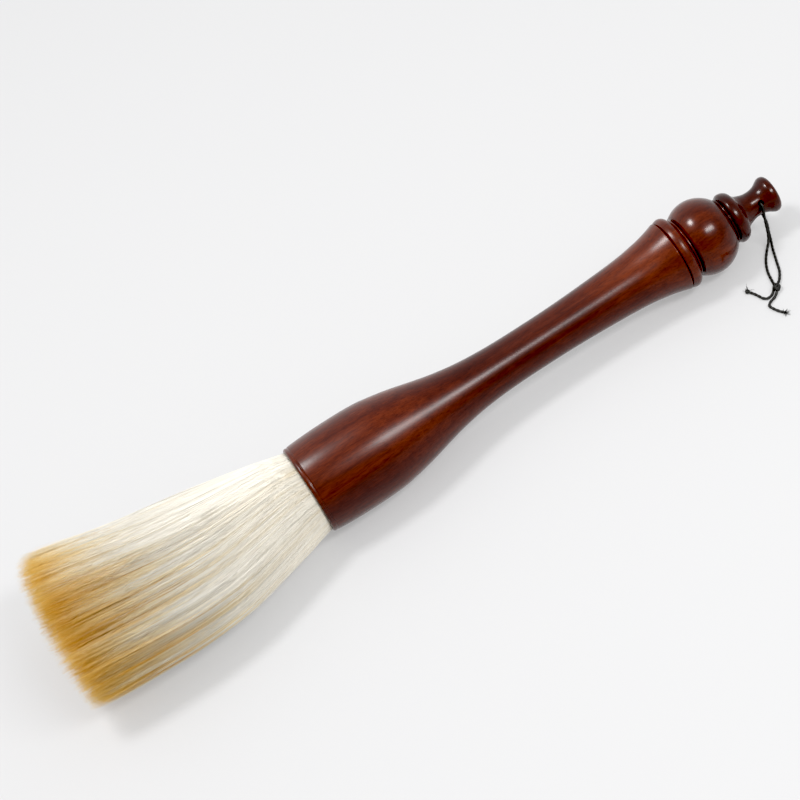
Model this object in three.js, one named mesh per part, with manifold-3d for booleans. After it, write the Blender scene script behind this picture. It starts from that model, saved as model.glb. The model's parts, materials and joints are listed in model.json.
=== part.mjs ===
// A large calligraphy brush: a turned hardwood handle with a doweled finial, a goat-hair tuft set into
// the handle's cup, and a hanging loop of waxed cord. Millimetres, +Z up. The brush lies on a surface
// at z = 0 with its tuft towards -X and its finial towards +X.
import * as THREE from 'three';
import { mergeVertices } from 'three/addons/utils/BufferGeometryUtils.js';
import Module from 'manifold-3d';

// ---- Driving dimensions. Places along the handle are counted from the mouth of its cup. ----
const GAP = 0.3; // clearance between pieces that touch
const CUP_RADIUS = 24.55;
const CUP_X = 24.5; // widest place of the cup
const LIP_RADIUS = 23.6;
const SOCKET_RADIUS = 21.2;
const SOCKET_DEPTH = 38;
const SEAM_X = 215.8; // end of the shank, where the flare collar begins
const SEAM_RADIUS = 18.9;
const COLLAR_END_X = 222.2;
const COLLAR_RADIUS = 19.5;
const DISC_END_X = 224.0;
const DISC_RADIUS = 15.8;
const BALL_X = 233.9;
const BALL_RADIUS = 20;
const BALL_HALF_LENGTH = 17.7;
const BALL_END_X = 246.9;
const BEAD_RADIUS = 13.8;
const SPOOL_END_X = 276.4;
const DOWEL_RADIUS = 4;
const DOWEL_START_X = 198;
const DOWEL_END_X = 258;
const HOLE_X = 266.7; // cross hole for the hanging cord
const HOLE_RADIUS = 1.25;
const HOLE_TILT = THREE.MathUtils.degToRad(30);

const TUFT_LENGTH = 144.4; // visible hair, mouth to tips
const BEND_OFFSET = 16; // the tuft bends about a point this far outside the mouth
const BEND_RADIUS = 24; // round base of the bending part of the tuft
const CORE_SHARE = 0.7; // the long centre hair takes this share of the tuft's width
const MANTLE_SHARE = 0.72;

const CORD_RADIUS = 0.75;
const CORD_STEP = 3.6;
const TURNED_SIDES = 40;

// The cup's belly and the ball both rest on the surface, so the handle leans a little.
const LEAN = Math.asin((CUP_RADIUS - BALL_RADIUS) / (BALL_X - CUP_X));
const MOUTH_Z = CUP_RADIUS * Math.cos(LEAN) + CUP_X * Math.sin(LEAN);
const BEND_Z = MOUTH_Z + BEND_OFFSET * Math.sin(LEAN);
const HOLE_PLACE = new THREE.Vector3(HOLE_X * Math.cos(LEAN), 0, MOUTH_Z - HOLE_X * Math.sin(LEAN));

// ---- Materials ----
const wood = (color) => new THREE.MeshStandardMaterial({ color, roughness: 0.25, metalness: 0 });
const rosewood = wood(0x6a2412);
const darkRosewood = wood(0x5a1c0e);
const paleDowel = wood(0xb98a55);
const paleHair = new THREE.MeshStandardMaterial({ color: 0xefe6cf, roughness: 0.6, metalness: 0 });
const goldHair = new THREE.MeshStandardMaterial({ color: 0xd9a04a, roughness: 0.6, metalness: 0 });
const resin = new THREE.MeshStandardMaterial({ color: 0x7a4a18, roughness: 0.3, metalness: 0 });
const thread = new THREE.MeshStandardMaterial({ color: 0xe8e0d0, roughness: 0.8, metalness: 0 });
const blackCord = new THREE.MeshStandardMaterial({ color: 0x161513, roughness: 0.6, metalness: 0 });

// ---- Shape helpers ----
const point = (x, radius) => new THREE.Vector2(radius, x);

// A quarter or half round of an outline, from one angle to another about a centre.
function arc(x, radius, alongX, alongRadius, fromAngle, toAngle, steps) {
  return Array.from({ length: steps + 1 }, (unused, i) => {
    const angle = fromAngle + ((toAngle - fromAngle) * i) / steps;
    return point(x + alongX * Math.sin(angle), radius + alongRadius * Math.cos(angle));
  });
}

// A smooth outline through a few (x, radius) stations.
function smooth(stations, steps) {
  return new THREE.SplineCurve(stations.map(([x, radius]) => point(x, radius))).getPoints(steps);
}

// A solid turned about the handle's axis, which is +X of the handle's group.
function turned(outline, sides = TURNED_SIDES) {
  const geometry = new THREE.LatheGeometry(outline, sides);
  geometry.rotateZ(-Math.PI / 2);
  return geometry;
}

// A round section carried along a curve.
function tube(curve, radius, steps, halfSides) {
  const section = new THREE.Shape().absarc(0, 0, radius, 0, Math.PI * 2);
  return new THREE.ExtrudeGeometry(section, { extrudePath: curve, steps, curveSegments: halfSides });
}

function named(name, geometry, material) {
  const mesh = new THREE.Mesh(geometry, material.clone());
  mesh.name = name;
  return mesh;
}

// ---- Booleans ----
const wasm = await Module();
wasm.setup();

function solid(geometry) {
  const plain = geometry.clone();
  plain.deleteAttribute('normal');
  plain.deleteAttribute('uv');
  const merged = mergeVertices(plain, 1e-4);
  const mesh = new wasm.Mesh({
    numProp: 3,
    vertProperties: new Float32Array(merged.attributes.position.array),
    triVerts: new Uint32Array(merged.index.array),
  });
  mesh.merge();
  return new wasm.Manifold(mesh);
}

function cut(geometry, tool) {
  const result = solid(geometry).subtract(solid(tool)).getMesh();
  const shape = new THREE.BufferGeometry();
  shape.setAttribute('position', new THREE.BufferAttribute(result.vertProperties, 3));
  shape.setIndex(new THREE.BufferAttribute(result.triVerts, 1));
  return shape;
}

// ---- Handle ----
const closed = (outline) => [...outline, outline[0].clone()];
const boreRadius = DOWEL_RADIUS + GAP;

// Cup, waist and flare in one piece: a blind socket for the hair at the mouth, a blind bore at the end.
function handleShank() {
  const lip = arc(1.2, (LIP_RADIUS + SOCKET_RADIUS) / 2, 1.2, (LIP_RADIUS - SOCKET_RADIUS) / 2, -Math.PI, 0, 6);
  const body = smooth(
    [
      [2.7, 23.75], [12, 24.35], [CUP_X, CUP_RADIUS], [39.3, 24.2], [49.2, 22.9], [59.1, 21], [69, 18.6],
      [78.9, 16.2], [88.8, 14.4], [98.7, 13.1], [113, 12.15], [128.6, 11.9], [148.7, 12], [168.8, 12.75],
      [188.8, 13.9], [200, 15.3], [208, 16.8], [SEAM_X - 0.5, SEAM_RADIUS],
    ],
    26,
  );
  return turned([
    point(SOCKET_DEPTH, 0),
    point(SOCKET_DEPTH, SOCKET_RADIUS),
    ...lip,
    point(1.9, LIP_RADIUS - 0.05),
    point(2.3, LIP_RADIUS - 0.3),
    ...body,
    point(SEAM_X, SEAM_RADIUS - 0.5),
    point(SEAM_X, boreRadius),
    point(DOWEL_START_X - GAP, boreRadius),
    point(DOWEL_START_X - GAP, 0),
  ]);
}

function flareCollar() {
  const start = SEAM_X + GAP;
  return turned(closed([
    point(start, boreRadius),
    point(start, SEAM_RADIUS - 0.5),
    point(start + 0.5, SEAM_RADIUS + 0.1),
    ...arc(COLLAR_END_X - 3.4, COLLAR_RADIUS - 3.5, 3.4, 3.5, -0.25, Math.PI / 2, 7),
    point(COLLAR_END_X, boreRadius),
  ]));
}

function spacerDisc() {
  const start = COLLAR_END_X + GAP;
  return turned(closed([
    point(start, boreRadius),
    point(start, DISC_RADIUS - 0.4),
    point(start + 0.4, DISC_RADIUS),
    point(DISC_END_X - 0.4, DISC_RADIUS),
    point(DISC_END_X, DISC_RADIUS - 0.4),
    point(DISC_END_X, boreRadius),
  ]));
}

// An oblate ball, cut flat at both ends.
function finialBall() {
  const start = DISC_END_X + GAP;
  const fromAngle = Math.asin((start - BALL_X) / BALL_HALF_LENGTH);
  const toAngle = Math.asin((BALL_END_X - BALL_X) / BALL_HALF_LENGTH);
  return turned(closed([
    point(start, boreRadius),
    ...arc(BALL_X, 0, BALL_HALF_LENGTH, BALL_RADIUS, fromAngle, toAngle, 16),
    point(BALL_END_X, boreRadius),
  ]));
}

// Bead, hollow neck and trumpet end in one piece, with the cross hole for the cord.
function finialSpool() {
  const start = BALL_END_X + GAP;
  const neck = smooth(
    [
      [256.3, 9.7], [257.8, 8.5], [259.9, 7.65], [261.9, 7], [264, 6.75], [266, 6.8], [268, 7.15], [270, 8],
      [272, 9.25], [273.2, 9.65],
    ],
    14,
  );
  const body = turned([
    point(DOWEL_END_X + GAP, 0),
    point(DOWEL_END_X + GAP, boreRadius),
    point(start, boreRadius),
    point(start, 12.4),
    point(start + 0.9, 12.7),
    point(start + 1.2, 12.2),
    ...arc(251.2, BEAD_RADIUS - 3.6, 2.8, 3.6, -1.15, 0, 4),
    ...arc(251.2, BEAD_RADIUS - 3.6, 4.6, 3.6, 0.2, 1.35, 5),
    ...neck,
    ...arc(273.8, 7.3, SPOOL_END_X - 273.8, 2.4, 0.2, Math.PI / 2, 5),
    point(SPOOL_END_X, 0),
  ]);
  const drill = new THREE.CylinderGeometry(HOLE_RADIUS, HOLE_RADIUS, 30, 16);
  drill.rotateX(-HOLE_TILT);
  drill.translate(HOLE_X, 0, 0);
  return cut(body, drill);
}

function assemblyDowel() {
  return turned([
    point(DOWEL_START_X, 0),
    point(DOWEL_START_X, DOWEL_RADIUS),
    point(DOWEL_END_X, DOWEL_RADIUS),
    point(DOWEL_END_X, 0),
  ], 20);
}

// ---- Hair root, inside the cup ----
const ROOT_RADIUS = SOCKET_RADIUS - 0.5;
const PLUG_THICKNESS = 6;
const ROOT_END_X = SOCKET_DEPTH - GAP - PLUG_THICKNESS - GAP;
const BINDING_X = 21.6;
const BINDING_TURNS = 4;
const BINDING_PITCH = 1.25;
const THREAD_RADIUS = 0.45;
const WINDING_RADIUS = 19.6;

function gluePlug() {
  const end = SOCKET_DEPTH - GAP;
  return turned([
    point(end - PLUG_THICKNESS, 0),
    point(end - PLUG_THICKNESS, SOCKET_RADIUS - GAP),
    point(end, SOCKET_RADIUS - GAP),
    point(end, 0),
  ], 32);
}

// The bound ends of the hair, hollowed in front where the bending part of the tuft turns in it.
function rootBundle() {
  const hollow = BEND_RADIUS + GAP;
  const rimX = -2;
  const rimAngle = Math.acos((rimX + BEND_OFFSET) / hollow);
  const front = Array.from({ length: 8 }, (unused, i) => {
    const angle = (rimAngle * i) / 7;
    return point(-BEND_OFFSET + hollow * Math.cos(angle), hollow * Math.sin(angle));
  });
  const groove = WINDING_RADIUS - THREAD_RADIUS - GAP;
  const grooveEnd = BINDING_X + BINDING_TURNS * BINDING_PITCH;
  return turned([
    ...front,
    point(rimX, ROOT_RADIUS),
    point(BINDING_X - 2, ROOT_RADIUS),
    point(BINDING_X - 1, groove),
    point(grooveEnd + 1, groove),
    point(grooveEnd + 2, ROOT_RADIUS),
    point(ROOT_END_X, ROOT_RADIUS),
    point(ROOT_END_X, 0),
  ], 32);
}

class Winding extends THREE.Curve {
  getPoint(t, target = new THREE.Vector3()) {
    const angle = t * BINDING_TURNS * Math.PI * 2;
    const x = BINDING_X + t * BINDING_TURNS * BINDING_PITCH;
    return target.set(x, WINDING_RADIUS * Math.cos(angle), WINDING_RADIUS * Math.sin(angle));
  }
}

// ---- Tuft ----
// Cross-sections of the tuft: distance from the mouth, half width, half height, sideways and up centre.
const SECTIONS = [
  [BEND_OFFSET, BEND_RADIUS, BEND_RADIUS, 0, BEND_Z],
  [29, 30.5, 25.5, 0, 25.8],
  [48.8, 38, 26.2, 0, 26.3],
  [78, 42.5, 28.2, 0.5, 28.2],
  [97.3, 44.2, 29.5, 2.1, 29.5],
  [116.8, 46.5, 30.8, 5.1, 30.8],
  [131, 48.2, 31.4, 7.8, 31.4],
  [TUFT_LENGTH, 49.2, 31.6, 9.4, 31.6],
];
const FLAT_BELOW = 2.6; // the underside is squarer than an ellipse, where the hair lies on the surface
const sections = new THREE.CubicInterpolant(
  SECTIONS.map((row) => row[0]),
  SECTIONS.flatMap((row) => row.slice(1)),
  4,
);

// A turned shape whose radius is a share of the tuft's cross-section at that distance from the mouth.
function hairBody(outline) {
  const geometry = new THREE.LatheGeometry(outline, 36);
  const position = geometry.attributes.position;
  for (let i = 0; i < position.count; i += 1) {
    const across = position.getX(i);
    const distance = position.getY(i);
    const up = position.getZ(i);
    const share = Math.hypot(across, up);
    const [halfWidth, halfHeight, centreY, centreZ] = sections.evaluate(distance);
    const spread = THREE.MathUtils.smoothstep(distance, BEND_OFFSET, 48);
    const power = up < 0 ? 2 / (2 + (FLAT_BELOW - 2) * spread) : 1;
    const y = share * Math.sign(across) * Math.abs(across / (share || 1)) ** power;
    const z = share * Math.sign(up) * Math.abs(up / (share || 1)) ** power;
    position.setXYZ(i, -distance, centreY + y * halfWidth, centreZ + z * halfHeight);
  }
  return geometry;
}

// The round base of the tuft, from one share of its width to another.
function roundBase(fromShare, toShare, steps) {
  return Array.from({ length: steps + 1 }, (unused, i) => {
    const share = fromShare + ((toShare - fromShare) * i) / steps;
    return point(BEND_OFFSET - BEND_RADIUS * Math.sqrt(1 - share * share), share);
  });
}

// Places of the rings along the tuft's wall, closer together where it widens fast.
const WALL = [19, 23, 28, 34, 42, 52, 64, 78, 92, 106, 120, 132];

function hairCore() {
  return hairBody([
    ...roundBase(0, CORE_SHARE, 5),
    ...WALL.map((distance) => point(distance, CORE_SHARE)),
    point(TUFT_LENGTH - 0.5, CORE_SHARE),
    point(TUFT_LENGTH, CORE_SHARE - 0.03),
    point(TUFT_LENGTH, 0),
  ]);
}

function hairMantle() {
  return hairBody(closed([
    ...roundBase(MANTLE_SHARE, 1, 5),
    ...WALL.map((distance) => point(distance, 1)),
    point(138, 0.985),
    point(142, 0.95),
    point(TUFT_LENGTH, 0.9),
    point(TUFT_LENGTH, MANTLE_SHARE),
    ...WALL.toReversed().map((distance) => point(distance, MANTLE_SHARE)),
  ]));
}

// ---- Hanging loop ----
// Routes counted from the middle of the cross hole: through the hole, down to the surface, to the knot.
const FRONT_ROUTE = [
  [0, -0.3, 0.17], [0, -3, 1.73], [-0.1, -6, 3.46], [-0.5, -7.8, 3.2], [-1, -8.5, 1.2], [-1.5, -8.7, -1.6],
  [-2, -8.8, -5], [-2.6, -9.3, -8.6], [-3.6, -10.6, -12.6], [-5.6, -12.4, -16.2], [-8.8, -15, -18.1],
  [-12.9, -20.2, -18.5], [-16.2, -26.8, -18.5], [-18, -33.4, -18.3], [-18.8, -36.8, -17.9],
];
const BACK_ROUTE = [
  [0, 0.3, -0.17], [0, 3, -1.73], [0, 6, -3.46], [0.4, 8, -5.4], [1.2, 8.7, -9], [2.2, 8.1, -13],
  [2.8, 6, -16.6], [2.2, 2.6, -18.4], [0.9, -0.8, -18.5], [-0.8, -4.4, -18.5], [-2.8, -9.2, -18.5],
  [-4.6, -13, -18.5], [-6.4, -17.2, -18.5], [-9.2, -24.4, -18.5], [-11.8, -31, -18.5], [-15, -35.8, -18.3],
  [-17, -37.7, -17.9],
];
const KNOT_PLACE = [-19.1, -39.8, -17.4];
const LEFT_TAIL_ROUTE = [
  [-21.5, -40.2, -18.1], [-23.6, -41.5, -18.5], [-26, -41.6, -18.5], [-27.6, -39.8, -18.5],
  [-28.3, -37.2, -18.5], [-29.2, -34.2, -18.5], [-30.5, -31, -18.5],
];
const RIGHT_TAIL_ROUTE = [
  [-20.8, -42.2, -18.1], [-23.2, -43.7, -18.5], [-26, -44.6, -18.5], [-28, -46.4, -18.5],
  [-27.6, -49.4, -18.5], [-26.4, -52.8, -18.5], [-24.8, -55.7, -18.5],
];
const KNOT_RADII = [2.1, 1.9, 1.75];

function cordTube(route) {
  const curve = new THREE.CatmullRomCurve3(route.map((place) => new THREE.Vector3(...place)));
  return tube(curve, CORD_RADIUS, Math.max(3, Math.round(curve.getLength() / CORD_STEP)), 4);
}

function cordKnot() {
  const geometry = new THREE.SphereGeometry(1, 14, 10);
  geometry.scale(...KNOT_RADII);
  geometry.translate(...KNOT_PLACE);
  return geometry;
}

// ---- Assembly ----
const handle = new THREE.Group();
handle.add(
  named('handle_shank', handleShank(), rosewood),
  named('flare_collar', flareCollar(), rosewood),
  named('spacer_disc', spacerDisc(), darkRosewood),
  named('finial_ball', finialBall(), rosewood),
  named('finial_spool', finialSpool(), rosewood),
  named('assembly_dowel', assemblyDowel(), paleDowel),
  named('hair_glue_plug', gluePlug(), resin),
  named('hair_root_bundle', rootBundle(), paleHair),
  named('root_binding_thread', tube(new Winding(), THREAD_RADIUS, BINDING_TURNS * 20, 3), thread),
);
handle.position.z = MOUTH_Z;
handle.rotation.y = LEAN;

const tuft = new THREE.Group();
tuft.add(named('hair_core', hairCore(), goldHair), named('hair_mantle', hairMantle(), paleHair));

const loop = new THREE.Group();
loop.add(
  named('cord_front_strand', cordTube(FRONT_ROUTE), blackCord),
  named('cord_back_strand', cordTube(BACK_ROUTE), blackCord),
  named('cord_knot', cordKnot(), blackCord),
  named('cord_left_tail', cordTube(LEFT_TAIL_ROUTE), blackCord),
  named('cord_right_tail', cordTube(RIGHT_TAIL_ROUTE), blackCord),
);
loop.position.copy(HOLE_PLACE);

// The origin is the middle of the brush's box, without its cord, on the surface it lies on.
const brush = new THREE.Group();
brush.add(handle, tuft);
brush.updateMatrixWorld(true);
const box = new THREE.Box3().setFromObject(brush, true);
brush.add(loop);
brush.position.set(-(box.min.x + box.max.x) / 2, -(box.min.y + box.max.y) / 2, -box.min.z);

const model = new THREE.Group();
model.add(brush);
export default model;
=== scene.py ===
"""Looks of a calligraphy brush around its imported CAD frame: lacquered wood, goat hair, waxed cord."""
import json
import math

import bmesh
import bpy
import numpy as np
from mathutils import Matrix, Vector


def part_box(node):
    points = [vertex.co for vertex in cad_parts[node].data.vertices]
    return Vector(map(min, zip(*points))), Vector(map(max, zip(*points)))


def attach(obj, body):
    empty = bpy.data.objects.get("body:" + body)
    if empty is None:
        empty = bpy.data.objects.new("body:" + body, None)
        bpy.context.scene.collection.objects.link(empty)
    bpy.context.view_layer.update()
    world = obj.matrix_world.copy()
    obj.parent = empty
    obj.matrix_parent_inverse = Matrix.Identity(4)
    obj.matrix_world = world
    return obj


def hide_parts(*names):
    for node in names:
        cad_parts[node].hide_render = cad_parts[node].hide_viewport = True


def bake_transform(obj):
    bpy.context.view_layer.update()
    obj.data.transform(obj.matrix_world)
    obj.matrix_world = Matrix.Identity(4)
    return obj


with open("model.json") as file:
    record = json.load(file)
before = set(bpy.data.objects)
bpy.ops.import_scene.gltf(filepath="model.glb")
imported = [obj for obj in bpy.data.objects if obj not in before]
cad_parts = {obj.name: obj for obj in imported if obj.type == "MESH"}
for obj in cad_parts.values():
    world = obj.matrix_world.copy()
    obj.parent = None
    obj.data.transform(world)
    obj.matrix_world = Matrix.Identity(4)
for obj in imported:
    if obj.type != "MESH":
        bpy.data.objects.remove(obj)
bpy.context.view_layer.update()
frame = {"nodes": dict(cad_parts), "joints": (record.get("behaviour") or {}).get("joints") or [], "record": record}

MM = 0.001

# ---- Facts from the frame ----
MOUNTS = {mount["name"]: mount for mount in frame["record"]["mounts"]}
JOINT = frame["joints"][0]
HOLE = np.array(MOUNTS["hanging_loop"]["pos_m"])
END = np.array(MOUNTS["finial_end"]["pos_m"])
AXIS = np.array(MOUNTS["finial_end"]["axis"])
AXIS = AXIS / np.linalg.norm(AXIS)
SIDE = np.array([0.0, 1.0, 0.0])
TOP = np.cross(AXIS, SIDE)


def node_points(node):
    """A CAD node's vertices, in metres."""
    mesh = frame["nodes"][node].data
    points = np.zeros(len(mesh.vertices) * 3, np.float32)
    mesh.vertices.foreach_get("co", points)
    return points.reshape(-1, 3).astype(float)


def along_and_radius(points, start):
    """Distance along the handle's axis from start, and distance from that axis."""
    from_start = points - start
    along = from_start @ AXIS
    return along, np.linalg.norm(from_start - np.outer(along, AXIS), axis=1)


MOUTH = END + AXIS * along_and_radius(node_points("handle_shank"), END)[0].min()


# ---- Camera ----
CAMERA_AZIMUTH = math.radians(-6.4)
CAMERA_ELEVATION = math.radians(45)
CAMERA_ROLL = math.radians(29.13)
CAMERA_DISTANCE = 1.2962
CAMERA_LENS = 117
CAMERA_AIM = Vector((-2.3, 12.9, 22.1)) * MM  # from the middle of the brush, on the surface


def make_camera():
    back = Vector((
        math.sin(CAMERA_AZIMUTH) * math.cos(CAMERA_ELEVATION),
        -math.cos(CAMERA_AZIMUTH) * math.cos(CAMERA_ELEVATION),
        math.sin(CAMERA_ELEVATION),
    ))
    level = Vector((math.cos(CAMERA_AZIMUTH), math.sin(CAMERA_AZIMUTH), 0))
    upright = back.cross(level)
    right = level * math.cos(CAMERA_ROLL) - upright * math.sin(CAMERA_ROLL)
    up = level * math.sin(CAMERA_ROLL) + upright * math.cos(CAMERA_ROLL)
    camera = bpy.data.objects.new("camera", bpy.data.cameras.new("camera"))
    bpy.context.scene.collection.objects.link(camera)
    camera.data.lens = CAMERA_LENS
    turn = Matrix((right, up, back)).transposed()
    camera.matrix_world = Matrix.Translation(CAMERA_AIM + back * CAMERA_DISTANCE) @ turn.to_4x4()
    camera.data.clip_start, camera.data.clip_end = 0.05, 20
    bpy.context.scene.camera = camera


make_camera()


# ---- Mesh helpers ----
def make_object(name, points, faces, uvs=None, smooth=True):
    """A mesh object from points and faces of any size; uvs has one row per face corner."""
    mesh = bpy.data.meshes.new(name)
    mesh.from_pydata(np.asarray(points).tolist(), [], [list(face) for face in faces])
    return finish_object(name, mesh, uvs, smooth)


def make_quads(name, points, quads, caps, uvs=None):
    """A fast way for large meshes: quads and caps are index arrays, each with rows of one length."""
    mesh = bpy.data.meshes.new(name)
    loops = np.concatenate([quads.ravel(), caps.ravel()])
    sizes = np.concatenate([
        np.full(len(quads), quads.shape[1]),
        np.full(len(caps), caps.shape[1]),
    ])
    starts = np.concatenate([[0], np.cumsum(sizes)[:-1]])
    mesh.vertices.add(len(points))
    mesh.vertices.foreach_set("co", np.asarray(points, np.float32).ravel())
    mesh.loops.add(len(loops))
    mesh.loops.foreach_set("vertex_index", loops.astype(np.int32))
    mesh.polygons.add(len(sizes))
    mesh.polygons.foreach_set("loop_start", starts.astype(np.int32))
    mesh.update(calc_edges=True)
    return finish_object(name, mesh, uvs, True)


def finish_object(name, mesh, uvs, smooth):
    if uvs is not None:
        layer = mesh.uv_layers.new(name="OFBake")
        layer.data.foreach_set("uv", np.asarray(uvs, np.float32).ravel())
    mesh.validate()
    mesh.polygons.foreach_set("use_smooth", np.full(len(mesh.polygons), smooth))
    obj = bpy.data.objects.new(name, mesh)
    bpy.context.scene.collection.objects.link(obj)
    return obj


def smooth_curve(points, spacing):
    """Points closely spaced on a smooth curve through the given ones."""
    points = np.asarray(points, float)
    ends = np.vstack([2 * points[0] - points[1], points, 2 * points[-1] - points[-2]])
    made = []
    for a, b, c, d in zip(ends[:-3], ends[1:-2], ends[2:-1], ends[3:]):
        steps = max(1, round(np.linalg.norm(c - b) / spacing))
        t = (np.arange(steps) / steps)[:, None]
        made.append(0.5 * (
            2 * b + (c - a) * t + (2 * a - 5 * b + 4 * c - d) * t ** 2 + (3 * b - a - 3 * c + d) * t ** 3
        ))
    return np.vstack(made + [points[-1:]])


def carried_frames(path):
    """Tangents and two normals along a path, carried along it without twist."""
    tangents = np.gradient(path, axis=0)
    tangents /= np.linalg.norm(tangents, axis=1)[:, None]
    normal = np.cross(tangents[0], [0.3, 0.2, 0.9])
    normals = []
    for tangent in tangents:
        normal = normal - tangent * (normal @ tangent)
        normal = normal / np.linalg.norm(normal)
        normals.append(normal)
    normals = np.array(normals)
    return tangents, normals, np.cross(tangents, normals)


def tube(path, section, twist_length=None):
    """Points and faces of a closed tube; section gives the radius at each angle of its outline."""
    path = np.asarray(path)
    tangents, normals, others = carried_frames(path)
    sides = len(section)
    travelled = np.concatenate([[0], np.cumsum(np.linalg.norm(np.diff(path, axis=0), axis=1))])
    turn = 2 * math.pi * travelled / twist_length if twist_length else np.zeros(len(path))
    angles = 2 * math.pi * np.arange(sides) / sides + turn[:, None]
    rings = (
        path[:, None, :]
        + normals[:, None, :] * (np.cos(angles) * section)[:, :, None]
        + others[:, None, :] * (np.sin(angles) * section)[:, :, None]
    )
    return rings.reshape(-1, 3), ring_faces(len(path), sides)


def ring_faces(rings, sides):
    """Faces that join rings of points one after another, with a cap at each end."""
    faces = []
    for i in range(rings - 1):
        for j in range(sides):
            k = (j + 1) % sides
            faces.append((i * sides + j, i * sides + k, (i + 1) * sides + k, (i + 1) * sides + j))
    faces.append(tuple(reversed(range(sides))))
    faces.append(tuple((rings - 1) * sides + j for j in range(sides)))
    return faces


# ---- Hanging loop of waxed cord ----
CORD_DIAMETER = 1.5 * MM
CORD_TWIST = 5.2 * MM
# Routes in millimetres from the middle of the cross hole, as in the CAD model.
FRONT_ROUTE = [
    (0, -0.3, 0.17), (0, -3, 1.73), (-0.1, -6, 3.46), (-0.5, -7.8, 3.2), (-1, -8.5, 1.2),
    (-1.5, -8.7, -1.6), (-2, -8.8, -5), (-2.6, -9.3, -8.6), (-3.6, -10.6, -12.6), (-5.6, -12.4, -16.2),
    (-8.8, -15, -18.1),
    (-12.9, -20.2, -18.5), (-16.2, -26.8, -18.5), (-18, -33.4, -18.3), (-18.8, -36.8, -17.9),
]
BACK_ROUTE = [
    (0, 0.3, -0.17), (0, 3, -1.73), (0, 6, -3.46), (0.4, 8, -5.4), (1.2, 8.7, -9), (2.2, 8.1, -13),
    (2.8, 6, -16.6), (2.2, 2.6, -18.4), (0.9, -0.8, -18.5), (-0.8, -4.4, -18.5), (-2.8, -9.2, -18.5),
    (-4.6, -13, -18.5), (-6.4, -17.2, -18.5), (-9.2, -24.4, -18.5), (-11.8, -31, -18.5),
    (-15, -35.8, -18.3), (-17, -37.7, -17.9),
]
LEFT_TAIL_ROUTE = [
    (-21.5, -40.2, -18.1), (-23.6, -41.5, -18.5), (-26, -41.6, -18.5), (-27.6, -39.8, -18.5),
    (-28.3, -37.2, -18.5), (-29.2, -34.2, -18.5), (-30.5, -31, -18.5),
]
RIGHT_TAIL_ROUTE = [
    (-20.8, -42.2, -18.1), (-23.2, -43.7, -18.5), (-26, -44.6, -18.5), (-28, -46.4, -18.5),
    (-27.6, -49.4, -18.5), (-26.4, -52.8, -18.5), (-24.8, -55.7, -18.5),
]
# The two stretches inside the knot, and the knot's middle.
FRONT_IN_KNOT = [(-19.7, -38.5, -17.4)]
BACK_IN_KNOT = [(-18.6, -40, -17.5)]
KNOT_PLACE = (-19.1, -39.8, -17.4)


def from_hole(route):
    return np.array(route, float) * MM + HOLE


def make_cord(name, route, node):
    """One end of the cord: out of the hole, down to the knot and on to its tail. Two twisted plies."""
    path = smooth_curve(from_hole(route), 0.4 * MM)
    sides = 18
    angles = 2 * math.pi * np.arange(sides) / sides
    section = CORD_DIAMETER / 2 * (0.76 + 0.24 * np.abs(np.cos(angles)) ** 0.8)
    points, faces = tube(path, section, CORD_TWIST)
    cord = make_object(name, points, faces)
    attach(cord, "handle")
    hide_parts(*node)
    return cord


def make_knot():
    """An overhand knot of both strands: turns of cord pulled tight round a lump of cord."""
    middle = from_hole(KNOT_PLACE)
    lump = make_lump("cord_knot", KNOT_PLACE, (1.75, 1.6, 1.45))
    points = [tuple(vertex.co) for vertex in lump.data.vertices]
    faces = [tuple(face.vertices) for face in lump.data.polygons]
    turns = [  # how far each turn is tipped about X and about Z, its radius and its offset along Y, mm
        (14, 35, 1.5, 0.8), (-24, 42, 1.55, -0.6), (78, 20, 1.4, 0.1), (60, -50, 1.35, 0.2),
    ]
    for tip, swing, radius, offset in turns:
        angles = np.linspace(0, 2 * math.pi, 41)[:-1]
        wave = 0.2 * np.sin(3 * angles) + offset
        loop = np.stack([np.cos(angles) * radius, wave, np.sin(angles) * radius], 1)
        turn = Matrix.Rotation(math.radians(swing), 3, "Z") @ Matrix.Rotation(math.radians(tip), 3, "X")
        loop = loop @ np.array(turn).T
        loop[:, 2] *= 0.82
        made, joined = closed_loop(loop * MM + middle, 0.72 * MM, 14)
        faces += [tuple(i + len(points) for i in face) for face in joined]
        points += made.tolist()
    bpy.data.objects.remove(lump)
    return make_object("cord_knot_turns", points, faces)


def closed_loop(path, radius, sides):
    """Points and faces of a ring-shaped tube round a closed path."""
    count = len(path)
    tangents = np.roll(path, -1, 0) - np.roll(path, 1, 0)
    tangents /= np.linalg.norm(tangents, axis=1)[:, None]
    outward = path - path.mean(0)
    outward -= tangents * (outward * tangents).sum(1)[:, None]
    outward /= np.linalg.norm(outward, axis=1)[:, None]
    others = np.cross(tangents, outward)
    angles = 2 * math.pi * np.arange(sides) / sides
    twist = 5 * 2 * math.pi * np.arange(count)[:, None] / count
    ply = radius * (0.86 + 0.14 * np.abs(np.cos(1.5 * (angles + twist))))
    rings = (
        path[:, None, :]
        + outward[:, None, :] * (np.cos(angles) * ply)[:, :, None]
        + others[:, None, :] * (np.sin(angles) * ply)[:, :, None]
    )
    faces = []
    for i in range(count):
        for j in range(sides):
            k, n = (j + 1) % sides, (i + 1) % count
            faces.append((i * sides + j, i * sides + k, n * sides + k, n * sides + j))
    return rings.reshape(-1, 3), faces


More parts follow.
